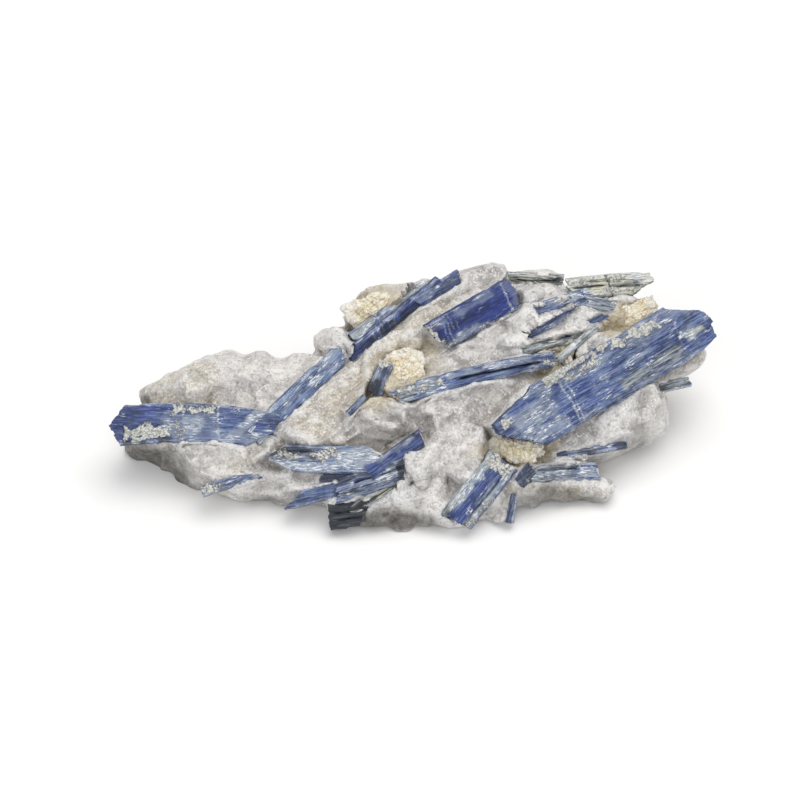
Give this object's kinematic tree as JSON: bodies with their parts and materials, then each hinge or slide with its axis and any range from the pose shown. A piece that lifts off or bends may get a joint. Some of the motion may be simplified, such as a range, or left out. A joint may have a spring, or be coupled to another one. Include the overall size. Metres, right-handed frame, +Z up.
{
  "type": "kyanite blade cluster",
  "caption": "Natural cluster of flat blue kyanite blades grown through a slab of milky white quartz with cream mica crusts, resting on its flat underside.",
  "frame": {"origin": "on the flat underside that the stone rests on, near the middle of its length", "axes": "+X along the stone towards its right end, +Y towards its back, +Z up out of the flat underside"},
  "size_m": [0.1525, 0.0703, 0.0371],
  "materials": {
    "quartz": "milky white, sugary broken surface",
    "kyanite": "glassy to pearly, streaked along the blade",
    "mica": "cream flakes with a pearly shine"
  },
  "bodies": {
    "root": {"quartz_matrix": "quartz", "crossed_blades": "kyanite", "upper_bundle": "kyanite", "royal_blade": "kyanite", "long_middle_blade": "kyanite", "broad_right_blade": "kyanite", "upper_right_bundle": "kyanite", "back_blade": "kyanite", "short_right_blade": "kyanite", "rib_blade": "kyanite", "chip_blade": "kyanite", "dark_nub": "kyanite", "edge_sliver": "kyanite", "lower_bundle": "kyanite", "lower_middle_blade": "kyanite", "lower_right_bundle": "kyanite", "ledge_sliver": "kyanite", "left_sliver": "kyanite", "far_right_blade": "kyanite", "foot_sliver": "kyanite", "mica_middle": "mica", "mica_lower": "mica", "mica_right": "mica", "mica_upper_left": "mica", "mica_upper_right": "mica", "mica_between": "mica"}
  },
  "joints": []
}
